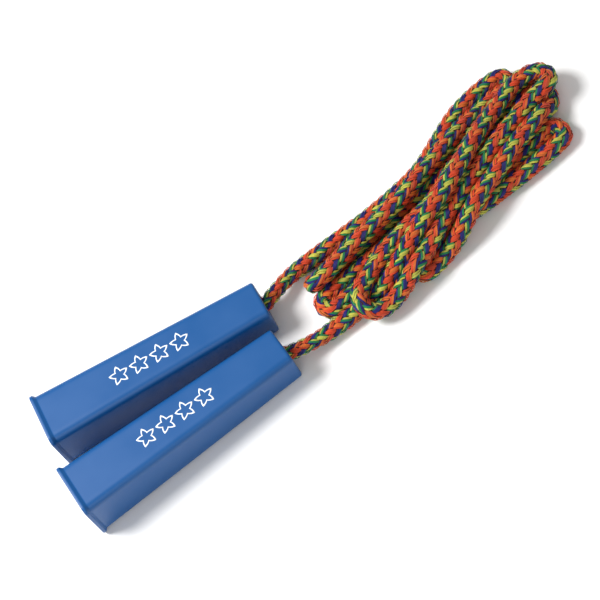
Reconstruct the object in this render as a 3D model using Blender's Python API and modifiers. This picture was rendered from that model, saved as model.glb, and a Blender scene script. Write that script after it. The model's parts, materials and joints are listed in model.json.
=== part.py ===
"""A jump rope laid down for storage: two hollow square handles and one folded rope.

Frame: metres, +Z up, the rope's hank and both handles resting on z = 0.
+X runs along the handles from their open mouths towards the hank.
The origin is under the middle of the pair of handles.
"""

import math

import bmesh
import bpy
from mathutils import Euler, Vector

# Handle: a square tapered tube, open at its wide end.
HANDLE_LENGTH = 0.127
BODY_SIDE_WIDE = 0.0295
BODY_SIDE_NARROW = 0.0225
EDGE_RADIUS = 0.0040
WALL = 0.0018
END_WALL = 0.0025
END_EDGE_RADIUS = 0.0012

# Lip: the flared band around the mouth.
LIP_FLARE = 0.0010
LIP_BAND = 0.0016
LIP_SLOPE = 0.0016

# Rope, the hole it runs through and the stopper knot inside the handle.
ROPE_DIAMETER = 0.0086
HOLE_CLEARANCE = 0.0044
KNOT_DIAMETER = 0.0186
KNOT_LENGTH = 0.0190
KNOT_SETBACK = 0.0055
KNOT_CLEARANCE = 0.0005
LEAD_INSIDE = 0.0025
TAIL_LENGTH = 0.0130
TIP_ROUND = 0.0015
TOUCH_GAP = 0.0003

# Where each handle's narrow end lies: its middle on the plan, and its turn about Z.
HANDLES = {
    "1": {"end": (0.06566, 0.0105), "yaw": math.radians(-5.1), "lean": 0.0012},
    "2": {"end": (0.06087, -0.0184), "yaw": math.radians(1.5), "lean": -0.0012},
}

# Route points of the two free stretches, and where each meets the hank's side.
LEADS = {
    "1": [(0.0745, 0.0155, 0.0105), (0.0830, 0.0182, 0.0090)],
    "2": [(0.0725, -0.0210, 0.0092), (0.0830, -0.0220, 0.0068)],
}
HANK_FACES = {"1": (0.0920, 0.0203, 0.0075), "2": (0.0962, -0.0198, 0.0054)}
LEAD_POINTS = 9
LEAD_SQUARE_END = 0.0020

# Plan outline of the hank, anticlockwise; the two flats are where the leads meet it.
HANK_HEIGHT = 0.0235
HANK_OUTLINE = [
    ((HANK_FACES["1"][0], 0.0262), "VECTOR"),
    ((HANK_FACES["1"][0], 0.0146), "VECTOR"),
    ((0.0840, 0.0085), "AUTO"),
    ((0.0840, -0.0080), "AUTO"),
    ((HANK_FACES["2"][0], -0.0135), "VECTOR"),
    ((HANK_FACES["2"][0], -0.0265), "VECTOR"),
    ((0.1040, -0.0330), "AUTO"),
    ((0.1170, -0.0355), "AUTO"),
    ((0.1370, -0.0285), "AUTO"),
    ((0.1650, -0.0225), "AUTO"),
    ((0.1950, -0.0145), "AUTO"),
    ((0.2300, -0.0140), "AUTO"),
    ((0.2460, -0.0030), "AUTO"),
    ((0.2500, 0.0100), "AUTO"),
    ((0.2520, 0.0200), "AUTO"),
    ((0.2450, 0.0340), "AUTO"),
    ((0.2270, 0.0445), "AUTO"),
    ((0.2020, 0.0415), "AUTO"),
    ((0.1640, 0.0300), "AUTO"),
    ((0.1200, 0.0262), "AUTO"),
]

SCREW_STEPS = 24
HOLE_SIDES = 32

rope_radius = ROPE_DIAMETER / 2
hole_radius = rope_radius + HOLE_CLEARANCE / 2
lip_side = BODY_SIDE_WIDE + 2 * LIP_FLARE


def clear_scene():
    """Remove whatever the opened file holds."""
    for obj in list(bpy.data.objects):
        bpy.data.objects.remove(obj, do_unlink=True)


def make_collection(name):
    collection = bpy.data.collections.new(name)
    bpy.context.scene.collection.children.link(collection)
    return collection


def make_material(name, color, roughness):
    """A Principled BSDF with one colour, not metallic."""
    material = bpy.data.materials.new(name)
    material.use_nodes = True
    shader = material.node_tree.nodes["Principled BSDF"]
    shader.inputs["Base Color"].default_value = (*color, 1.0)
    shader.inputs["Roughness"].default_value = roughness
    shader.inputs["Metallic"].default_value = 0.0
    return material


def hide_cutter(obj):
    obj.hide_render = True
    obj.display_type = "WIRE"


def body_side(x):
    """Side of the square body at a distance x from the mouth."""
    return BODY_SIDE_WIDE + (BODY_SIDE_NARROW - BODY_SIDE_WIDE) * x / HANDLE_LENGTH


def knot_place():
    """Distance from the narrow end to the knot's near end.

    The knot sits close behind the end wall, or further in where the hollow is wide enough.
    """
    taper = (BODY_SIDE_WIDE - BODY_SIDE_NARROW) / HANDLE_LENGTH
    side_needed = KNOT_DIAMETER + 2 * KNOT_CLEARANCE + 2 * WALL
    wide_enough = (side_needed - BODY_SIDE_NARROW) / taper - KNOT_LENGTH / 2
    return max(END_WALL + KNOT_SETBACK, wide_enough)


def tapered_box(name, stations, edge_radius, end_radius=0.0):
    """A square bar along X with a given side at each station and rounded long edges.

    stations holds (x, side) in order; the last end's rim is rounded by end_radius.
    """
    first, last = stations[0][0], stations[-1][0]
    bm = bmesh.new()
    bmesh.ops.create_cube(bm, size=1.0)
    for vert in bm.verts:
        vert.co.x = first if vert.co.x < 0 else last
    for x, _ in stations[1:-1]:
        everything = bm.verts[:] + bm.edges[:] + bm.faces[:]
        bmesh.ops.bisect_plane(bm, geom=everything, plane_co=(x, 0, 0), plane_no=(1, 0, 0))
    for vert in bm.verts:
        side = min(stations, key=lambda station: abs(station[0] - vert.co.x))[1]
        vert.co.y = math.copysign(side / 2, vert.co.y)
        vert.co.z = math.copysign(side / 2, vert.co.z)
    weights = bm.edges.layers.float.new("bevel_weight_edge")
    for edge in bm.edges:
        xs = [vert.co.x for vert in edge.verts]
        if abs(xs[0] - xs[1]) > 1e-6:
            edge[weights] = 1.0
        elif min(xs) > last - 1e-6:
            edge[weights] = end_radius / edge_radius
    mesh = bpy.data.meshes.new(name)
    bm.to_mesh(mesh)
    bm.free()
    obj = bpy.data.objects.new(name, mesh)
    bevel = obj.modifiers.new("long_edges", "BEVEL")
    bevel.limit_method = "WEIGHT"
    bevel.width = edge_radius
    bevel.segments = 5
    return obj


def cut(obj, cutter, name):
    boolean = obj.modifiers.new(name, "BOOLEAN")
    boolean.operation = "DIFFERENCE"
    boolean.solver = "EXACT"
    boolean.object = cutter


def make_handle(tag, frame, parts, cutters, material):
    """One handle: outer shape with its lip, hollowed from the mouth, with a rope hole.

    Its mesh is placed from the narrow end, so x = 0 is the hole's outer rim.
    """
    band_end = LIP_BAND
    slope_end = LIP_BAND + LIP_SLOPE
    shape = [
        (0.0, lip_side),
        (band_end, lip_side),
        (slope_end, body_side(slope_end)),
        (HANDLE_LENGTH, BODY_SIDE_NARROW),
    ]
    handle = tapered_box(
        "handle_" + tag,
        [(x - HANDLE_LENGTH, side) for x, side in shape],
        EDGE_RADIUS,
        END_EDGE_RADIUS,
    )
    overrun = 0.006
    floor = HANDLE_LENGTH - END_WALL
    hollow = tapered_box(
        "hollow_cut_" + tag,
        [
            (-overrun - HANDLE_LENGTH, body_side(-overrun) - 2 * WALL),
            (floor - HANDLE_LENGTH, body_side(floor) - 2 * WALL),
        ],
        EDGE_RADIUS - WALL,
    )
    bm = bmesh.new()
    bmesh.ops.create_cone(
        bm,
        cap_ends=True,
        segments=HOLE_SIDES,
        radius1=hole_radius,
        radius2=hole_radius,
        depth=4 * END_WALL,
    )
    mesh = bpy.data.meshes.new("hole_cut_" + tag)
    bm.to_mesh(mesh)
    bm.free()
    hole = bpy.data.objects.new("hole_cut_" + tag, mesh)
    hole.rotation_euler = (0, math.pi / 2, 0)
    hole.location = (-END_WALL / 2, 0, 0)
    cut(handle, hollow, "hollow")
    cut(handle, hole, "rope_hole")
    parts.objects.link(handle)
    handle.parent = frame
    handle.data.materials.append(material)
    for cutter in (hollow, hole):
        cutters.objects.link(cutter)
        cutter.parent = frame
        hide_cutter(cutter)
    handle.data.shade_smooth()
    handle.data.set_sharp_from_angle(angle=math.radians(30))


def make_rope_end(tag, frame, parts, material):
    """The rope's end inside the handle: neck, stopper knot and tail, turned about the axis.

    Local +Z points from the hole towards the mouth.
    """
    start = END_WALL + LEAD_INSIDE + TOUCH_GAP
    knot_end = knot_place() + KNOT_LENGTH
    tip = knot_end + TAIL_LENGTH
    knot_steps = 14
    profile = [(0.0, tip), (rope_radius - TIP_ROUND, tip), (rope_radius, tip - TIP_ROUND)]
    swell = KNOT_DIAMETER / 2 - rope_radius
    for step in range(knot_steps + 1):
        share = step / knot_steps
        radius = rope_radius + swell * math.sin(math.pi * share) ** 0.7
        profile.append((radius, knot_end - KNOT_LENGTH * share))
    profile.append((rope_radius, start))
    profile.append((0.0, start))
    mesh = bpy.data.meshes.new("rope_end_" + tag)
    points = [(radius, 0.0, height) for radius, height in profile]
    edges = [(index, index + 1) for index in range(len(points) - 1)]
    mesh.from_pydata(points, edges, [])
    rope_end = bpy.data.objects.new("rope_end_" + tag, mesh)
    screw = rope_end.modifiers.new("turn", "SCREW")
    screw.axis = "Z"
    screw.angle = 2 * math.pi
    screw.steps = SCREW_STEPS
    screw.render_steps = SCREW_STEPS
    screw.use_merge_vertices = True
    screw.merge_threshold = 0.00001
    screw.use_smooth_shade = True
    rope_end.parent = frame
    rope_end.rotation_euler = (0, -math.pi / 2, 0)
    parts.objects.link(rope_end)
    mesh.materials.append(material)


def smooth_route(points, count):
    """Evenly numbered points on a Catmull-Rom curve through the given ones."""
    padded = [2 * points[0] - points[1]] + points + [2 * points[-1] - points[-2]]
    spans = len(points) - 1
    route = []
    for index in range(count):
        place = spans * index / (count - 1)
        span = min(int(place), spans - 1)
        t = place - span
        a, b, c, d = padded[span:span + 4]
        route.append(
            0.5 * (2 * b + (c - a) * t + (2 * a - 5 * b + 4 * c - d) * t ** 2
                   + (3 * b - 3 * c + d - a) * t ** 3)
        )
    return route


def make_lead(tag, frame, parts, material):
    """The free rope from inside the handle's hole to the hank's side."""
    to_world = frame.matrix_basis
    face = to_world @ Vector((-END_WALL - LEAD_INSIDE, 0, 0))
    straight = to_world @ Vector((-END_WALL - LEAD_INSIDE / 2, 0, 0))
    mouth = to_world @ Vector((0, HANDLES[tag]["lean"], 0))
    end = Vector(HANK_FACES[tag]) - Vector((TOUCH_GAP, 0, 0))
    square = end - Vector((LEAD_SQUARE_END, 0, 0))
    chosen = [Vector(point) for point in LEADS[tag]] + [square]
    route = [face] + smooth_route([straight, mouth] + chosen, LEAD_POINTS) + [end]
    curve = bpy.data.curves.new("rope_lead_" + tag, "CURVE")
    curve.dimensions = "3D"
    spline = curve.splines.new("POLY")
    spline.points.add(len(route) - 1)
    for point, place in zip(spline.points, route):
        point.co = (*place, 1.0)
    curve.bevel_depth = rope_radius
    curve.bevel_resolution = 4
    curve.use_fill_caps = True
    lead = bpy.data.objects.new("rope_lead_" + tag, curve)
    parts.objects.link(lead)
    curve.materials.append(material)


def make_hank(parts, material):
    """The folded rope's outer shape: its plan outline, extruded up from the ground."""
    curve = bpy.data.curves.new("rope_hank", "CURVE")
    curve.dimensions = "2D"
    curve.fill_mode = "BOTH"
    curve.extrude = HANK_HEIGHT / 2
    curve.resolution_u = 5
    spline = curve.splines.new("BEZIER")
    spline.bezier_points.add(len(HANK_OUTLINE) - 1)
    spline.use_cyclic_u = True
    for point, (place, handle_type) in zip(spline.bezier_points, HANK_OUTLINE):
        point.co = (*place, 0.0)
        point.handle_left_type = handle_type
        point.handle_right_type = handle_type
    hank = bpy.data.objects.new("rope_hank", curve)
    hank.location = (0, 0, HANK_HEIGHT / 2)
    parts.objects.link(hank)
    curve.materials.append(material)


def handle_frame(tag, parts):
    """An empty at the rope hole's rim, its X on the handle's axis towards the hank.

    The handle rests on its lip and on its narrow end, so its axis slopes down.
    """
    drop = math.atan2((lip_side - BODY_SIDE_NARROW) / 2, HANDLE_LENGTH - LIP_BAND)
    turn = Euler((0, drop, HANDLES[tag]["yaw"]))
    height = BODY_SIDE_NARROW / 2 * math.cos(drop)
    frame = bpy.data.objects.new("axis_" + tag, None)
    frame.location = (*HANDLES[tag]["end"], height)
    frame.rotation_euler = turn
    parts.objects.link(frame)
    return frame


def main():
    clear_scene()
    parts = make_collection("jump_rope")
    cutters = make_collection("cutters")
    plastic = make_material("blue_plastic", (0.0, 0.155, 0.468), 0.42)
    braid = make_material("braided_rope", (0.66, 0.22, 0.08), 0.85)
    for tag in HANDLES:
        frame = handle_frame(tag, parts)
        make_handle(tag, frame, parts, cutters, plastic)
        make_rope_end(tag, frame, parts, braid)
        make_lead(tag, frame, parts, braid)
    make_hank(parts, braid)


main()
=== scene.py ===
import json
import math

import bpy
import numpy as np
from mathutils import Matrix


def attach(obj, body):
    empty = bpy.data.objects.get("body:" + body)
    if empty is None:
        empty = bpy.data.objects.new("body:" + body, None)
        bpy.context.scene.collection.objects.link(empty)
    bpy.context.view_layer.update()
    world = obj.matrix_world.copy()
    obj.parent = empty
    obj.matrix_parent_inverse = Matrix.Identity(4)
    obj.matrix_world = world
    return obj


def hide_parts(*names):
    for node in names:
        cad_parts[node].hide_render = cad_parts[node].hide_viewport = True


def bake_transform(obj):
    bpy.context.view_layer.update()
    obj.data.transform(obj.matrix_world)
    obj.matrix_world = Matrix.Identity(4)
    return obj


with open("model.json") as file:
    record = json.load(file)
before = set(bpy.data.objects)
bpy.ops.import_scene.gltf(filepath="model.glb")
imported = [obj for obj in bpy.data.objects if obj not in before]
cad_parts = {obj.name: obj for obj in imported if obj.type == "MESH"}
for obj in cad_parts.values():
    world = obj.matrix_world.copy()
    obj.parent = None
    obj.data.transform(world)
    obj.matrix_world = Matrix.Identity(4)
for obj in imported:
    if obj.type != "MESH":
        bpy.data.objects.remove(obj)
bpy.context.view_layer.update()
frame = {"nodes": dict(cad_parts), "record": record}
print("cad model loaded:", len(frame["nodes"]), "nodes")

rng = np.random.default_rng(7)
mm = 0.001


# ---- small helpers ----

def linear(hexColour):
    # sRGB byte / 255, then ((c + 0.055) / 1.055) ** 2.4, or c / 12.92 near black
    c = np.array([int(hexColour[i:i + 2], 16) for i in (1, 3, 5)]) / 255
    c = np.where(c <= 0.04045, c / 12.92, ((c + 0.055) / 1.055) ** 2.4)
    return (*c.tolist(), 1.0)


def addNode(tree, kind, settings=None, inputs=None):
    # settings go on the node; an input is a value, or a socket that is linked to it
    node = tree.nodes.new(kind)
    for name, value in (settings or {}).items():
        setattr(node, name, value)
    for name, value in (inputs or {}).items():
        if isinstance(value, bpy.types.NodeSocket):
            tree.links.new(value, node.inputs[name])
        else:
            node.inputs[name].default_value = value
    return node


def newMaterial(name, shaderValues):
    material = bpy.data.materials.new(name)
    material.use_nodes = True
    tree = material.node_tree
    shader = tree.nodes["Principled BSDF"]
    for socket, value in shaderValues.items():
        shader.inputs[socket].default_value = value
    return material, tree, shader


def gridFaces(rows, columns, closeRows=False, closeColumns=False, flip=False):
    # corner (i, j), (i, j+1), (i+1, j+1), (i+1, j) for every cell of the grid
    i, j = np.meshgrid(np.arange(rows if closeRows else rows - 1),
                       np.arange(columns if closeColumns else columns - 1), indexing="ij")
    nextI, nextJ = (i + 1) % rows, (j + 1) % columns
    quads = np.stack([i * columns + j, i * columns + nextJ,
                      nextI * columns + nextJ, nextI * columns + j], -1).reshape(-1, 4)
    return quads[:, ::-1] if flip else quads


def newPiece(name, points, quads, materials, triangles=None, slots=None, colours=None, uvs=None):
    # points is (n, 3), quads (m, 4) and triangles (k, 3) index into it
    mesh = bpy.data.meshes.new(name)
    loops = quads.reshape(-1)
    starts = np.arange(len(quads)) * 4
    if triangles is not None:
        starts = np.concatenate([starts, len(loops) + np.arange(len(triangles)) * 3])
        loops = np.concatenate([loops, triangles.reshape(-1)])
    mesh.vertices.add(len(points))
    mesh.loops.add(len(loops))
    mesh.polygons.add(len(starts))
    mesh.vertices.foreach_set("co", points.astype(np.float32).ravel())
    mesh.loops.foreach_set("vertex_index", loops.astype(np.int32))
    mesh.polygons.foreach_set("loop_start", starts.astype(np.int32))
    for material in materials:
        mesh.materials.append(material)
    if slots is not None:
        mesh.polygons.foreach_set("material_index", slots.astype(np.int32))
    mesh.update(calc_edges=True)
    mesh.shade_smooth()
    if colours is not None:
        layer = mesh.color_attributes.new("yarnColour", "FLOAT_COLOR", "POINT")
        layer.data.foreach_set("color", colours.astype(np.float32).ravel())
    if uvs is not None:
        layer = mesh.uv_layers.new(name="yarnMap")
        layer.uv.foreach_set("vector", uvs[loops].astype(np.float32).ravel())
    mesh.validate()
    piece = bpy.data.objects.new(name, mesh)
    bpy.context.scene.collection.objects.link(piece)
    return piece


# ---- camera ----

cameraLook = {
    "target": (0.0815, 0.0082, 0.0),
    "elevation": 60.0,
    "roll": 35.5,
    "distance": 1.1,
    "lens": 129.0,
}


def placeCamera(look):
    # back = from the target to the camera; right and up are turned by the roll about it
    elevation, roll = math.radians(look["elevation"]), math.radians(look["roll"])
    back = np.array([0, -math.cos(elevation), math.sin(elevation)])
    level = np.array([1.0, 0, 0])
    upright = np.cross(back, level)
    right = math.cos(roll) * level - math.sin(roll) * upright
    up = math.sin(roll) * level + math.cos(roll) * upright
    place = np.array(look["target"]) + look["distance"] * back
    data = bpy.data.cameras.new("camera")
    data.lens = look["lens"]
    data.sensor_width = 36.0
    camera = bpy.data.objects.new("camera", data)
    bpy.context.scene.collection.objects.link(camera)
    columns = np.column_stack([right, up, back, place])
    camera.matrix_world = Matrix(np.vstack([columns, [0, 0, 0, 1]]).tolist())
    bpy.context.scene.camera = camera
    return back


sight = placeCamera(cameraLook)
print("camera placed")


# ---- where the handles lie, from the record ----

def handlePlace(tag):
    # the hinge's point and axis; across is level, upward completes the three
    joint = [j for j in frame["record"]["behaviour"]["joints"] if j["name"] == f"handle_{tag}_spin"][0]
    rim = np.array(joint["pos_m"])
    along = np.array(joint["axis"]) / np.linalg.norm(joint["axis"])
    across = np.cross([0, 0, 1], along)
    across /= np.linalg.norm(across)
    return rim, np.stack([along, across, np.cross(along, across)])


handlePlaces = {tag: handlePlace(tag) for tag in "12"}


# ---- the rope's route ----

rope = {
    "diameter": 9.1,        # mm between the middles of strands that touch
    "leadRadius": 4.05,     # pulled tight near the handles
    "hankRadius": 4.85,     # slack braid in the hank swells a little
    "swellStart": 18.0,     # mm from the hole; the rope swells over the next swellSpan
    "swellSpan": 22.0,
    "insideWall": 5.0,      # from the hole's outer rim to where the knotted end takes over
    "inHole": 2.0,
    "leanOut": (0.5, 1.2),  # past the rim and to the side
    "step": 2.15,
    "fineStep": 2.0,
    "rounds": 420,
    "settleFrom": 0.75,     # share of the rounds after which the plan lets go
    "settleHold": 0.3,
    "hold": 0.15,
    "deepHold": 0.03,       # the same, along the sight line
    "stiff": 0.25,
    "wideStiff": 0.25,      # share of stiff that acts over three links
    "weight": 0.04,
    "watch": 1.5,           # diameters within which strands are tested for touching
    "reach": 1.005,         # diameters
    "push": 0.22,
    "linkPull": 0.4,
    "tied": 3,              # points held at each end
}

# Points in mm. Runs go to the right or to the left, with a fold between each two.
ropeRuns = {
    "firstLead": [(75, 16, 10), (82, 19, 8)],
    "topRun": [
        (89, 21, 6), (98, 21, 4.9), (108, 21, 4.9), (122, 21, 4.9), (133, 21, 4.9),
        (143, 22, 4.9), (153, 22.5, 4.9), (163, 24, 4.9), (174, 27, 4.9), (184.5, 31.5, 4.9),
        (195, 36, 4.9), (205, 40, 4.9), (216, 43, 4.9), (224, 44, 4.9)],
    "topFold": [(231.5, 43.5, 4.9), (237.5, 40.5, 4.9), (238, 36, 4.9), (233.5, 33, 4.9)],
    "secondRun": [
        (225, 33.5, 4.9), (215, 33, 4.9), (205, 30.5, 5.5), (194.5, 27, 7), (184, 23.5, 8.5),
        (173.5, 20, 9.5), (163, 17, 10.5), (155, 15, 11.5), (147.5, 13, 12.5), (137, 11.5, 13.2),
        (127, 10.2, 13.8), (117, 8.3, 13.8), (107, 6.2, 13.8), (99, 4, 13.8)],
    "uprightFold": [(92.5, 3.2, 13.9), (88.4, 3.6, 10.8), (88.4, 4.4, 7.2), (92.5, 6, 5)],
    "lowRun": [
        (100, 7.2, 4.9), (108, 8.5, 4.9), (117, 9.5, 4.9), (127.5, 11, 4.9), (137.5, 12, 4.9),
        (148, 13, 4.9), (158, 14.5, 4.9), (171, 17, 4.9), (184, 20, 4.9), (197, 23, 4.9),
        (210, 25.5, 4.9), (223, 28, 4.9), (234.5, 28.5, 4.9)],
    "lowFold": [(243, 28, 4.9), (248.8, 24.5, 4.9), (248.6, 18.5, 5.2), (244.5, 12.5, 7), (238, 9, 9.8)],
    "slantRun": [
        (228.5, 7, 11.8), (219.5, 3, 12.3), (210, -0.5, 12.5), (199.5, -4.5, 12.6),
        (190.5, -8, 12.6), (180.5, -12, 12), (171.5, -14.5, 9.5), (162.5, -17, 6),
        (155, -20, 4.9), (146, -24.5, 4.9)],
    "nearFold": [(140, -25.2, 4.9), (135.4, -22, 4.9), (135.4, -17, 4.9), (139.5, -13.8, 4.9)],
    "edgeRun": [
        (146, -14.5, 4.9), (155, -13, 4.9), (165, -11, 4.9), (175, -9.5, 4.9),
        (187.5, -8, 4.9), (200.5, -8, 4.9), (213, -8.5, 4.9), (225.5, -8.5, 4.9)],
    "openFold": [
        (233, -8.6, 4.9), (238.8, -7.2, 4.9), (242.6, -2.6, 4.9), (241.2, 2.6, 4.9), (236, 5.2, 4.9)],
    "backRun": [
        (229, 4.6, 4.9), (213.5, 2.5, 4.9), (198.5, 1, 4.9), (183, -1, 4.9), (167.5, -3, 4.9),
        (152.5, -5.5, 4.9), (137, -7.5, 4.9), (124, -8.8, 4.9), (112, -9.5, 4.9), (102, -9.8, 4.9)],
    "leftFold": [(95, -10.1, 4.9), (89, -9.2, 4.9), (85.4, -5.2, 4.9), (88.6, -1.2, 4.9), (95, -0.4, 4.9)],
    "groundRun": [
        (104.5, -0.8, 4.9), (117, 0.5, 4.9), (132.5, 1.5, 4.9), (152.5, 4, 4.9),
        (173, 5.5, 4.9), (193.5, 7.5, 4.9), (214, 9, 4.9), (226, 9.5, 4.9)],
    "tuckedFold": [(232.5, 11, 4.9), (235.8, 15, 4.9), (232.5, 19, 4.9)],
    "innerRun": [
        (226, 20, 4.9), (217, 18, 4.9), (208.5, 15, 5), (196, 11.5, 6.5),
        (183, 7.5, 9), (170, 4, 11.5), (157, 0.5, 12.5), (144.5, -2.5, 12.5),
        (134.5, -4.5, 12.5), (124, -8, 12.8)],
    "roundFold": [
        (115.5, -11, 13.3), (108, -14, 13.6), (103.5, -19, 13.2), (102.5, -24, 12),
        (105, -28, 10), (110, -30, 9)],
    "frontRun": [
        (115.5, -29.5, 8), (122, -28, 8.5), (129.5, -25.5, 10), (137.5, -21.5, 11),
        (145.5, -18, 12), (154, -13.5, 12.5), (163.5, -9.5, 12.8), (172, -5.5, 12.8),
        (182.5, -1, 12.8), (192.5, 3, 12.8), (200.5, 6, 12.8), (209, 9, 12.6),
        (219.5, 12, 12.4), (229, 15.5, 12.2), (236, 18, 12.2)],
    "endFold": [
        (243.5, 16.8, 12.3), (250.4, 18.2, 12.6), (254, 24.4, 12.8), (250.6, 30.8, 13), (243.5, 33, 13)],
    "highRun": [
        (236, 32, 13), (226, 28, 14), (216, 23.5, 15), (205.5, 18.5, 16), (196, 13.5, 17),
        (186.5, 8.5, 18), (177, 3.5, 19), (166.5, -1.5, 19.5), (158, -5.5, 19.5),
        (148.5, -9.5, 18.5), (139.5, -13.2, 16.5), (130.5, -16.6, 13.5), (122, -18.4, 10.2),
        (114, -18.8, 7), (106, -18.6, 5.2), (99, -18.5, 4.9)],
    "secondLead": [(92.5, -18.5, 5), (83.5, -20.5, 6), (74, -20.5, 8.5)],
}


def smoothLine(points, perSpan=24):
    # Catmull-Rom: half of 2b + (c - a)t + (2a - 5b + 4c - d)t^2 + (3b - 3c + d - a)t^3
    points = np.array(points, float)
    padded = np.vstack([2 * points[0] - points[1], points, 2 * points[-1] - points[-2]])
    t = np.linspace(0, len(points) - 1, (len(points) - 1) * perSpan + 1)
    k = np.minimum(t.astype(int), len(points) - 2)
    t = (t - k)[:, None]
    a, b, c, d = padded[k], padded[k + 1], padded[k + 2], padded[k + 3]
    return 0.5 * (2 * b + (c - a) * t + (2 * a - 5 * b + 4 * c - d) * t ** 2
                  + (3 * b - 3 * c + d - a) * t ** 3)


def evenly(line, step):
    # the same line with points a given distance apart, and its length
    run = np.concatenate([[0], np.cumsum(np.linalg.norm(np.diff(line, axis=0), axis=1))])
    places = np.linspace(0, run[-1], int(round(run[-1] / step)) + 1)
    return np.stack([np.interp(places, run, line[:, i]) for i in range(3)], 1), run[-1]


def layRope(plan, length):
    # Each round: pull towards the plan across the sight line, sink a little, straighten,
    # push strands nearer than a diameter apart, and keep every link's length.
    line = plan.copy()
    count = len(line)
    link = length / (count - 1)
    order = np.arange(count)
    watched = rope["watch"] * rope["diameter"]
    apart = int(watched / link)
    loose = np.ones((count, 1))
    loose[:rope["tied"]] = 0
    loose[-rope["tied"]:] = 0
    reach = rope["diameter"] * rope["reach"]
    for turn in range(rope["rounds"]):
        if turn % 6 == 0:
            square = ((line[:, None] - line[None]) ** 2).sum(2)
            near = (square < watched ** 2) & (order[None] - order[:, None] > apart)
            one, other = np.nonzero(near)
        early = turn < rope["settleFrom"] * rope["rounds"]
        pull = rope["hold"] * (1.0 if early else rope["settleHold"])
        miss = plan - line
        deep = (miss @ sight)[:, None] * sight
        line = line + (pull * (miss - deep) + rope["deepHold"] * deep) * loose
        line[:, 2] -= rope["weight"] * loose[:, 0]
        for spread, share in ((1, rope["stiff"]), (3, rope["wideStiff"] * rope["stiff"])):
            middle = line.copy()
            middle[spread:-spread] = (line[:-2 * spread] + line[2 * spread:]) / 2
            line = line + share * (middle - line) * loose
        for _ in range(3):
            gap = line[one] - line[other]
            size = np.linalg.norm(gap, axis=1) + 1e-9
            push = gap / size[:, None] * (np.maximum(reach - size, 0) * rope["push"])[:, None]
            np.add.at(line, one, push * loose[one])
            np.add.at(line, other, -push * loose[other])
        gap = np.diff(line, axis=0)
        size = np.linalg.norm(gap, axis=1)
        fix = gap / size[:, None] * ((size - link) * rope["linkPull"])[:, None]
        line[:-1] += fix * loose[:-1]
        line[1:] -= fix * loose[1:]
        line[:, 2] = np.maximum(line[:, 2], rope["hankRadius"])
        line[loose[:, 0] == 0] = plan[loose[:, 0] == 0]
    return line


def throughHole(tag, side):
    # inside the end wall, in the hole, and leaning out at its rim
    rim, axes = handlePlaces[tag]
    rim = rim / mm
    past, aside = rope["leanOut"]
    lean = rim + [past, side * aside, 0]
    return [rim - rope["insideWall"] * axes[0], rim - rope["inHole"] * axes[0], lean]


chosen = throughHole("1", 1) + [p for run in ropeRuns.values() for p in run] + throughHole("2", -1)[::-1]
ropePlan, plannedLength = evenly(smoothLine(chosen), rope["step"])
ropeLine = layRope(ropePlan, plannedLength)
ropeLine, ropeLength = evenly(smoothLine(ropeLine, 4), rope["fineStep"])
highest = ropeLine[:, 2].max() + rope["hankRadius"]
print("rope laid:", round(ropeLength), "mm, highest point", round(highest, 1))


# ---- braided cord ----

# Polypropylene multifilament yarn, dyed in the melt: bright, satin, with soft fibre lines.
yarnColours = {
    "red orange": "#E04418",
    "orange": "#E36C20",
    "yellow": "#CBCB4E",
    "green": "#068047",
    "navy": "#101372",
}

# Sixteen carriers, over two and under two, four to each colour repeat in either direction;
# each carrier lays three yarns side by side.
braid = {
    "pitch": 20.4,          # mm along the rope in which the colours come round
    "rightHanded": [
        "green", "navy", "navy", "red orange", "red orange", "orange",
        "red orange", "orange", "navy", "navy", "green", "yellow"],
    "leftHanded": [
        "red orange", "red orange", "red orange", "green", "yellow", "yellow",
        "yellow", "green", "navy", "orange", "orange", "red orange"],
    "halfWidth": 0.53,      # of a yarn, in yarn spacings: neighbours just overlap
    "overlap": 1.06,        # a float's length against the spacing of its crossings
    "stations": [-1, -0.78, -0.3, 0.3, 0.78, 1],
    "crown": 0.22,          # heights and falls are in mm
    "groove": 0.16,         # fall from a yarn's crown to its edge
    "shoulder": 0.34,       # fall of the outer two yarns of a carrier
    "dive": 1.15,           # fall where a carrier passes under the next
    "diveShape": 2.2,       # a float stays up along its middle and drops near its ends
    "uneven": 0.012,        # spread of the floats' places and lengths
    "scatter": 0.06,        # spread of the crowns' heights
    "tones": (0.82, 1.12),  # spread of the dye's strength
    "bare": 0.6,            # mm of core without floats at each end
    "coreDepth": 0.72,      # the core, dark with painted shade, lies this far inside the rope's radius
    "coreSides": 12,
    "coreStep": 2.2,
    # painted shade colour given to the core's vertices
    "coreShadeColour": "#2A1710",
}


def carryFrames(line):
    # tangent from neighbours; the side vector is carried along without twist
    tangent = np.gradient(line, axis=0)
    tangent /= np.linalg.norm(tangent, axis=1)[:, None]
    side = np.empty_like(line)
    start = np.cross(tangent[0], [0.3, 0.2, 0.93])
    side[0] = start / np.linalg.norm(start)
    for i in range(1, len(line)):
        carried = side[i - 1] - (side[i - 1] @ tangent[i]) * tangent[i]
        side[i] = carried / np.linalg.norm(carried)
    return tangent, side, np.cross(tangent, side)


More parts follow.
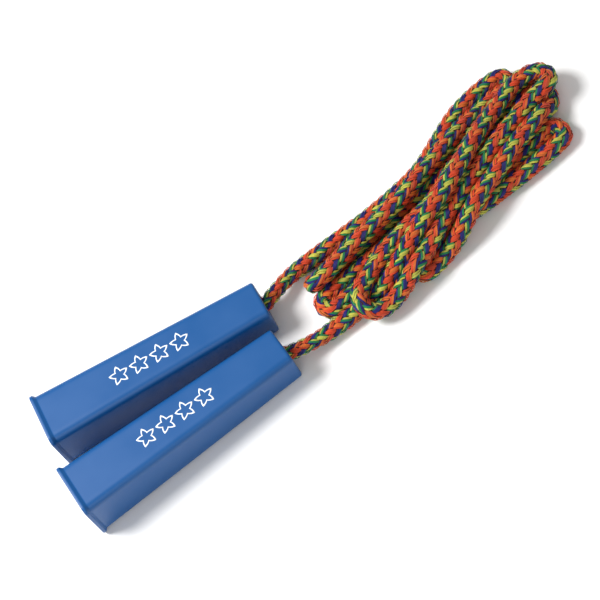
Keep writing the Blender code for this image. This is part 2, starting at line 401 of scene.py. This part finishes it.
def braidedCord(name, line, radius, materials):
    # u = s/P + 2a and v = s/P - 2a with a in turns, so s = P(u + v)/2 and a = (u - v)/4.
    # Carrier i of one hand is on top for v from i/4 to (i + 2)/4, and j of the other for u
    # from (j + 1)/4 to (j + 3)/4; the height falls to a yarn's edges and to the float's ends.
    spots = np.concatenate([[0], np.cumsum(np.linalg.norm(np.diff(line, axis=0), axis=1))])
    length, pitch = spots[-1], braid["pitch"]
    tangent, side, other = carryFrames(line)

    def place(s, turn, depth):
        # a point of the line, moved out in the direction of the turn by radius + depth
        at = [np.stack([np.interp(s, spots, v[:, i]) for i in range(3)], -1)
              for v in (line, side, other)]
        out = at[1] * np.cos(turn)[..., None] + at[2] * np.sin(turn)[..., None]
        out /= np.linalg.norm(out, axis=-1)[..., None]
        return at[0] + out * (np.interp(s, spots, radius) + depth)[..., None]

    t, w = np.meshgrid(braid["stations"], [-1, 0, 1], indexing="ij")
    each = t.size
    points, quads, colours, uvs, total = [], [], [], [], 0
    for family, sequence in (("u", braid["rightHanded"]), ("v", braid["leftHanded"])):
        yarns = np.arange(-36, int((length / pitch + 3) * 12))
        yarn, again = [a.ravel() for a in np.meshgrid(yarns, np.arange(-4, 5))]
        carrier = yarn // 3
        jitter = rng.uniform(-braid["uneven"], braid["uneven"], (2, len(yarn)))
        topMiddle = (carrier + (1 if family == "u" else 2)) / 4 + again + jitter[0]
        acrossYarn = ((yarn + 0.5) / 12)[:, None, None] + w * braid["halfWidth"] / 12
        halfFloat = 0.25 * braid["overlap"] + jitter[1]
        alongYarn = topMiddle[:, None, None] + t * halfFloat[:, None, None]
        u, v = (acrossYarn, alongYarn) if family == "u" else (alongYarn, acrossYarn)
        s = pitch * (u + v) / 2
        turn = (u - v) / 4
        centre = turn[:, 2:4, 1].mean(1)
        onRope = (s[:, 2, 1] > braid["bare"]) & (s[:, 3, 1] < length - braid["bare"])
        keep = onRope & (centre > -0.5) & (centre <= 0.5)
        s = np.clip(s[keep], 0, length)
        turn = 2 * math.pi * turn[keep]
        yarn = yarn[keep]
        outer = np.abs(yarn % 3 - 1)
        lift = rng.uniform(-braid["scatter"], braid["scatter"], len(yarn))
        crown = braid["crown"] - braid["shoulder"] * outer + lift
        fall = braid["dive"] * np.abs(t) ** braid["diveShape"]
        height = crown[:, None, None] - braid["groove"] * w ** 2 - fall
        points.append(place(s, turn, height).reshape(-1, 3))
        one = gridFaces(*t.shape, flip=(family == "u"))
        starts = total + np.arange(len(yarn)) * each
        quads.append((one[None] + starts[:, None, None]).reshape(-1, 4))
        total += len(yarn) * each
        tone = np.array([linear(yarnColours[c]) for c in sequence])[yarn % 12]
        tone[:, :3] *= rng.uniform(*braid["tones"], (len(yarn), 1))
        colours.append(np.repeat(tone, each, axis=0))
        shift = rng.uniform(0, 8, len(yarn))
        along, across = np.broadcast_arrays(t[None] + shift[:, None, None], w)
        uvs.append(np.stack([along, across], -1).reshape(-1, 2))
    core = np.linspace(0, length, int(length / braid["coreStep"]) + 2)
    angle = np.linspace(0, 2 * math.pi, braid["coreSides"], endpoint=False)
    s, turn = np.meshgrid(core, angle, indexing="ij")
    tube = place(s, turn, np.full(s.shape, -braid["coreDepth"])).reshape(-1, 3)
    quads.append(gridFaces(len(core), len(angle), closeColumns=True, flip=True) + total)
    rows = np.arange(len(angle))
    first, last = total + len(tube), total + len(tube) + 1
    lastRing = total + (len(core) - 1) * len(angle)
    caps = np.concatenate([
        np.stack([np.full_like(rows, first), total + rows, total + (rows + 1) % len(angle)], 1)[:, ::-1],
        np.stack([np.full_like(rows, last), lastRing + rows, lastRing + (rows + 1) % len(angle)], 1)])
    points += [tube, line[:1], line[-1:]]
    extra = len(tube) + 2
    # the core's vertices carry the painted shade colour
    colours.append(np.tile(np.array(linear(braid["coreShadeColour"])), (extra, 1)))
    uvs.append(np.zeros((extra, 2)))
    quads = np.concatenate(quads)
    coreQuads = (len(core) - 1) * len(angle)
    slots = np.concatenate([np.zeros(len(quads) - coreQuads), np.ones(coreQuads + len(caps))])
    return newPiece(name, np.concatenate(points) * mm, quads, materials, caps, slots,
                    np.concatenate(colours), np.concatenate(uvs))


def makeYarnMaterial():
    # Polypropylene filament yarn: satin, with lines along each float where filaments lie. The colour is
    # painted darker in the low lines and lighter on the raised ones, as painted shade and painted
    # highlight over the relief.
    material, tree, shader = newMaterial("braidedPolypropyleneYarn", {
        "Roughness": 0.62, "IOR": 1.49, "Sheen Weight": 0.06, "Sheen Roughness": 0.4})
    colour = addNode(tree, "ShaderNodeAttribute", {"attribute_name": "yarnColour"})
    lay = addNode(tree, "ShaderNodeUVMap", {"uv_map": "yarnMap"})
    # Real filaments are 0.03 mm; drawn as bundles of about 0.25 mm so that they show.
    stretched = addNode(tree, "ShaderNodeMapping", {}, {
        "Vector": lay.outputs[0], "Scale": (0.7, 3.4, 1.0)})
    filaments = addNode(tree, "ShaderNodeTexNoise", {}, {
        "Vector": stretched.outputs[0], "Scale": 1.6, "Detail": 4.0, "Roughness": 0.65})
    # Twist of the plies: slanting lines about 0.8 mm apart.
    plies = addNode(tree, "ShaderNodeTexWave", {"bands_direction": "DIAGONAL"}, {
        "Vector": lay.outputs[0], "Scale": 2.3, "Distortion": 3.0, "Detail": 2.0, "Detail Scale": 2.0})
    surface = addNode(tree, "ShaderNodeMix", {"data_type": "FLOAT"}, {
        "Factor": 0.5, "A": filaments.outputs[0], "B": plies.outputs["Fac"]})
    # painted light and shade: the yarn colour is scaled from 0.48 in the low parts of the filament and ply
    # relief to 1.30 on its ridges
    shade = addNode(tree, "ShaderNodeMapRange", {}, {
        "Value": surface.outputs[0], "From Min": 0.2, "From Max": 0.75,
        "To Min": 0.48, "To Max": 1.30})
    tinted = addNode(tree, "ShaderNodeVectorMath", {"operation": "SCALE"}, {
        0: colour.outputs["Color"], "Scale": shade.outputs[0]})
    tree.links.new(tinted.outputs[0], shader.inputs["Base Color"])
    relief = addNode(tree, "ShaderNodeBump", {}, {
        "Height": surface.outputs[0], "Strength": 0.7, "Distance": 0.00025})
    tree.links.new(relief.outputs[0], shader.inputs["Normal"])
    return material


def makeCoreMaterial():
    # Painted shade: the inner yarns seen between the floats, and the cut ends, are coloured near black and
    # dark red-brown, as if in the floats' shadow; matt.
    material, tree, shader = newMaterial("shadedRopeCore", {"Roughness": 0.95, "IOR": 1.49})
    place = addNode(tree, "ShaderNodeTexCoord")
    fleck = addNode(tree, "ShaderNodeTexNoise", {}, {
        "Vector": place.outputs["Object"], "Scale": 900.0, "Detail": 2.0})
    ramp = addNode(tree, "ShaderNodeMix", {"data_type": "RGBA"}, {
        "Factor": fleck.outputs[0], "A": linear("#120A08"), "B": linear("#4A2114")})
    tree.links.new(ramp.outputs["Result"], shader.inputs["Base Color"])
    return material


ropeMaterials = [makeYarnMaterial(), makeCoreMaterial()]

# The radius grows from the lead's to the hank's by 3x^2 - 2x^3.
spots = np.linspace(0, ropeLength, len(ropeLine))
fromHole = np.minimum(spots, ropeLength - spots)
swell = np.clip((fromHole - rope["swellStart"]) / rope["swellSpan"], 0, 1)
growth = rope["hankRadius"] - rope["leadRadius"]
ropeRadius = rope["leadRadius"] + growth * swell ** 2 * (3 - 2 * swell)
braidedRope = braidedCord("braided_rope", ropeLine, ropeRadius, ropeMaterials)
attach(braidedRope, "rope")
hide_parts("rope_hank", "rope_lead_1", "rope_lead_2")
print("rope braided:", len(braidedRope.data.polygons), "faces")

# The knotted ends inside the handles: a short neck, wraps around the axis, and a cut tail.
knot = {
    "neckEnd": 8.2,
    "turns": 1.6,
    "wrapRadius": 5.1,
    "length": 18.0,
    "tail": 13.0,
    "radius": 3.9,
    "fade": 0.16,           # share of the turns in which the wraps open, and close again
    "fadeShape": 0.7,
    "step": 1.5,
}


def knotLine():
    # distance along the axis against a wrap of growing and fading radius
    t = np.linspace(0, 1, 120)
    rise = np.clip(t / knot["fade"], 0, 1) * np.clip((1 - t) / knot["fade"], 0, 1)
    wide = knot["wrapRadius"] * rise ** knot["fadeShape"]
    angle = 2 * math.pi * knot["turns"] * t
    wrapsAlong = knot["neckEnd"] + knot["length"] * t
    wraps = np.stack([wrapsAlong, wide * np.cos(angle), wide * np.sin(angle)], 1)
    wrapsEnd = knot["neckEnd"] + knot["length"]
    tail = np.linspace(wrapsEnd + 1, wrapsEnd + knot["tail"], 14)
    straight = np.stack([tail, 0 * tail, 0 * tail], 1)
    return evenly(np.vstack([wraps, straight]), knot["step"])[0]


def inHandle(tag, local):
    # local x runs from the hole towards the mouth
    rim, axes = handlePlaces[tag]
    return rim / mm + local @ np.stack([-axes[0], axes[1], axes[2]])


ropeEnds = []
for tag in "12":
    line = inHandle(tag, knotLine())
    radius = np.full(len(line), knot["radius"])
    end = braidedCord(f"knotted_end_{tag}", line, radius, ropeMaterials)
    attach(end, f"rope_end_{tag}")
    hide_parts(f"rope_end_{tag}")
    neckSpan = np.linspace(rope["insideWall"] - 0.5, knot["neckEnd"] + 0.8, 12)
    line = inHandle(tag, np.stack([neckSpan, 0 * neckSpan, 0 * neckSpan], 1))
    radius = np.full(len(line), knot["radius"])
    neck = braidedCord(f"rope_neck_{tag}", line, radius, ropeMaterials)
    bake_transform(neck)
    ropeEnds += [end, neck]

print("knots tied")


# ---- handles ----

handleShape = {
    "length": 127.0,
    "sideWide": 29.5,
    "sideNarrow": 22.5,
    "edgeRadius": 4.0,
    "wall": 1.8,
    "endWall": 2.5,
    "lipFlare": 1.0,
    "lipBand": 1.6,
    "lipSlope": 1.6,
    "holeRadius": 6.5,
    "endRounding": 1.2,
    "rimRounding": 0.35,
}


def bodySide(x):
    # the side falls evenly from the mouth to the narrow end
    h = handleShape
    return h["sideWide"] + (h["sideNarrow"] - h["sideWide"]) * x / h["length"]


def squareRing(side, corner, angles):
    # distance from the middle to a rounded square in each direction: the flat, or the corner's arc
    c, s = np.abs(np.cos(angles)), np.abs(np.sin(angles))
    flat = side / 2 / np.maximum(c, s)
    centre = side / 2 - corner
    along = centre * (c + s)
    arc = along + np.sqrt(np.maximum(along ** 2 - 2 * centre ** 2 + corner ** 2, 0))
    onArc = np.minimum(c, s) * flat > centre
    rho = np.where(onArc, arc, flat)
    return np.stack([rho * np.cos(angles), rho * np.sin(angles)], -1)


def makeHandleMesh():
    # rings from the mouth's rim along the outside, over the end, through the hole and back inside;
    # each is the distance from the mouth, the side and the corner's radius
    h = handleShape
    lip = h["sideWide"] + 2 * h["lipFlare"]
    r, e, length, edge = h["rimRounding"], h["endRounding"], h["length"], h["edgeRadius"]
    rings = [(0.0, lip - 2 * r, edge - r * 0.4)]
    rings += [(r - r * math.cos(a), lip - 2 * r + 2 * r * math.sin(a), edge)
              for a in np.radians([30, 60, 90])]
    rings += [(h["lipBand"] - 0.25, lip, edge), (h["lipBand"], lip - 0.08, edge)]
    slopeEnd = h["lipBand"] + h["lipSlope"]
    rings += [(h["lipBand"] + 0.2, lip - 0.3, edge),
              (slopeEnd - 0.2, bodySide(slopeEnd) + 0.15, edge)]
    rings += [(x, bodySide(x), edge) for x in [slopeEnd, slopeEnd + 0.4]]
    rings += [(x, bodySide(x), edge) for x in np.linspace(8, length - e - 0.6, 12)]
    start = bodySide(length - e)
    rings += [(length - e + e * math.sin(a), start - 2 * e * (1 - math.cos(a)),
               edge - 0.5 * e * (1 - math.cos(a)))
              for a in np.radians([0, 18, 36, 54, 72, 90])]
    endSide = rings[-1][1]
    hole = 2 * h["holeRadius"]
    rings += [(length, endSide - 0.5, edge), (length, hole + 1.6, hole / 2 + 0.8),
              (length, hole + 0.6, hole / 2 + 0.3)]
    rings += [(length - 0.12, hole + 0.14, hole / 2 + 0.07), (length - 0.35, hole, hole / 2)]
    inner = length - h["endWall"]
    rings += [(inner + 0.3, hole, hole / 2), (inner, hole + 0.3, hole / 2 + 0.15)]
    innerSide = bodySide(inner) - 2 * h["wall"]
    innerEdge = edge - h["wall"]
    rings += [(inner, hole + 1.4, hole / 2 + 0.7), (inner, innerSide - 1.6, innerEdge + 1.2),
              (inner - 0.25, innerSide - 0.4, innerEdge + 0.2)]
    rings += [(x, bodySide(x) - 2 * h["wall"], innerEdge) for x in np.linspace(inner - 0.8, 0.5, 12)]
    mouth = bodySide(0) - 2 * h["wall"]
    rings += [(0.12, mouth + 0.08, innerEdge), (0.0, mouth + 0.35, innerEdge)]
    quarter = np.array([0, 11, 22, 30, 34, 37, 39.5, 42, 45, 48, 50.5, 53, 56, 60, 68, 79])
    angles = np.radians((np.arange(4)[:, None] * 90 + quarter).ravel())
    points = np.array([np.column_stack([np.full(len(angles), x - length),
                                        squareRing(side, corner, angles)])
                       for x, side, corner in rings])
    quads = gridFaces(len(rings), len(angles), closeRows=True, closeColumns=True)
    return points.reshape(-1, 3), quads


def makeHandlePlastic():
    # Polypropylene, injection moulded: satin, faintly mottled, with a very fine mould grain.
    material, tree, shader = newMaterial("mouldedPolypropyleneBlue", {"Roughness": 0.42, "IOR": 1.49})
    place = addNode(tree, "ShaderNodeTexCoord")
    clouds = addNode(tree, "ShaderNodeTexNoise", {}, {
        "Vector": place.outputs["Object"], "Scale": 45.0, "Detail": 3.0, "Roughness": 0.5})
    mottle = addNode(tree, "ShaderNodeMix", {"data_type": "RGBA"}, {
        "Factor": clouds.outputs[0], "A": linear("#004B88"), "B": linear("#00508F")})
    tree.links.new(mottle.outputs["Result"], shader.inputs["Base Color"])
    # grain of about 0.35 mm
    grain = addNode(tree, "ShaderNodeTexNoise", {}, {
        "Vector": place.outputs["Object"], "Scale": 2800.0, "Detail": 2.0})
    wear = addNode(tree, "ShaderNodeMapRange", {}, {
        "Value": clouds.outputs[0], "From Min": 0.3, "From Max": 0.7, "To Min": 0.36, "To Max": 0.48})
    tree.links.new(wear.outputs[0], shader.inputs["Roughness"])
    relief = addNode(tree, "ShaderNodeBump", {}, {
        "Height": grain.outputs[0], "Strength": 0.25, "Distance": 0.00003})
    tree.links.new(relief.outputs[0], shader.inputs["Normal"])
    return material


def makeInk():
    # Pad-printed ink: opaque white, thin, a little glossier than the plastic.
    material, tree, shader = newMaterial("padPrintedWhiteInk", {"Roughness": 0.38, "IOR": 1.5})
    place = addNode(tree, "ShaderNodeTexCoord")
    thin = addNode(tree, "ShaderNodeTexNoise", {}, {
        "Vector": place.outputs["Object"], "Scale": 1500.0, "Detail": 2.0})
    cover = addNode(tree, "ShaderNodeMix", {"data_type": "RGBA"}, {
        "Factor": thin.outputs[0], "A": linear("#DDE6EE"), "B": linear("#FBFDFF")})
    tree.links.new(cover.outputs["Result"], shader.inputs["Base Color"])
    return material


handlePlastic, whiteInk = makeHandlePlastic(), makeInk()
handlePoints, handleQuads = makeHandleMesh()


def toHandle(tag, points):
    # from mm along the handle's own axes to metres in the frame
    rim, axes = handlePlaces[tag]
    return rim + (points @ axes) * mm


# A printed row of outlined stars on the upper facet.
printMark = {
    "stars": 4,
    "pitch": 11.6,
    "outer": 5.6,
    "inner": 2.9,
    "line": 0.85,
    "tipInset": 0.35,       # the line is wider at the tips by this share
    "hollow": 1.25,         # over 1 draws the star's sides in a little
    "thick": 0.06,
    "sunk": 0.05,
    "sides": 100,
}


def starRow():
    # radius swings between the tips and the notches; four rings make a closed raised line
    p, h = printMark, handleShape
    angles = np.linspace(0, 2 * math.pi, p["sides"], endpoint=False)
    saw = np.abs(((angles * 5 / (2 * math.pi)) % 1) * 2 - 1)
    edge = p["inner"] + (p["outer"] - p["inner"]) * saw ** p["hollow"]
    slope = math.atan((h["sideWide"] - h["sideNarrow"]) / 2 / h["length"])
    points, quads = [], []
    for k in range(p["stars"]):
        middle = -h["length"] / 2 + (k - (p["stars"] - 1) / 2) * p["pitch"]
        rings = []
        for inset, lift in ((0, -p["sunk"]), (0, p["thick"]), (p["line"], p["thick"]),
                            (p["line"], -p["sunk"])):
            rho = edge - inset * (1 + p["tipInset"] * saw)
            x = middle + rho * np.sin(angles)
            y = rho * np.cos(angles)
            top = bodySide(x + h["length"]) / 2
            rings.append(np.stack([x + lift * math.sin(slope), y, top + lift * math.cos(slope)], -1))
        ring = gridFaces(4, p["sides"], closeRows=True, closeColumns=True, flip=True)
        quads.append(ring + k * 4 * p["sides"])
        points.append(np.array(rings).reshape(-1, 3))
    return np.concatenate(points), np.concatenate(quads)


for tag in "12":
    shell = newPiece(f"handle_shell_{tag}", toHandle(tag, handlePoints), handleQuads, [handlePlastic])
    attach(shell, f"handle_{tag}")
    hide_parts(f"handle_{tag}")
    markPoints, markQuads = starRow()
    mark = newPiece(f"star_print_{tag}", toHandle(tag, markPoints), markQuads, [whiteInk])
    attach(mark, f"handle_{tag}")
print("handles and prints made")


# ---- floor and light ----

studio = {
    "floorColour": "#F4F4F3",
    "floorHalf": 2.5,
    "skyStrength": 0.42,
    "aim": (0.08, 0, 0),
    "keyPlace": (-0.60, 0.40, 1.08),
    "keySize": 0.6,
    "keyPower": 23.0,
    "fillPlace": (-0.3, -0.9, 0.7),
    "fillSize": 0.8,
    "fillPower": 3.0,
}


def makeFloor():
    # seamless matt paper
    material, tree, shader = newMaterial("mattPaperSweep", {"Roughness": 0.9})
    place = addNode(tree, "ShaderNodeTexCoord")
    fibre = addNode(tree, "ShaderNodeTexNoise", {}, {
        "Vector": place.outputs["Object"], "Scale": 60.0, "Detail": 3.0})
    paper = addNode(tree, "ShaderNodeMix", {"data_type": "RGBA"}, {
        "Factor": fibre.outputs[0], "A": linear(studio["floorColour"]), "B": linear("#F7F7F7")})
    tree.links.new(paper.outputs["Result"], shader.inputs["Base Color"])
    row = np.linspace(-studio["floorHalf"], studio["floorHalf"], 6)
    x, y = np.meshgrid(row, row, indexing="ij")
    points = np.stack([x, y, 0 * x], -1).reshape(-1, 3)
    floor = newPiece("floor", points, gridFaces(6, 6, flip=True), [material])


def addLight(name, place, size, power):
    # an area light whose -Z points from its place to the aim
    data = bpy.data.lights.new(name, "AREA")
    data.shape = "DISK"
    data.size = size
    data.energy = power
    light = bpy.data.objects.new(name, data)
    bpy.context.scene.collection.objects.link(light)
    back = np.array(place, float) - np.array(studio["aim"], float)
    back /= np.linalg.norm(back)
    right = np.cross([0.0, 1.0, 0.02], back)
    right /= np.linalg.norm(right)
    columns = np.column_stack([right, np.cross(back, right), back, place])
    light.matrix_world = Matrix(np.vstack([columns, [0, 0, 0, 1]]).tolist())


makeFloor()
world = bpy.data.worlds.new("studio")
bpy.context.scene.world = world
world.use_nodes = True
sky = world.node_tree.nodes["Background"]
sky.inputs["Color"].default_value = (1, 1, 1, 1)
sky.inputs["Strength"].default_value = studio["skyStrength"]
addLight("key", studio["keyPlace"], studio["keySize"], studio["keyPower"])
addLight("fill", studio["fillPlace"], studio["fillSize"], studio["fillPower"])
bpy.context.scene.view_settings.view_transform = "Standard"
print("studio lit")
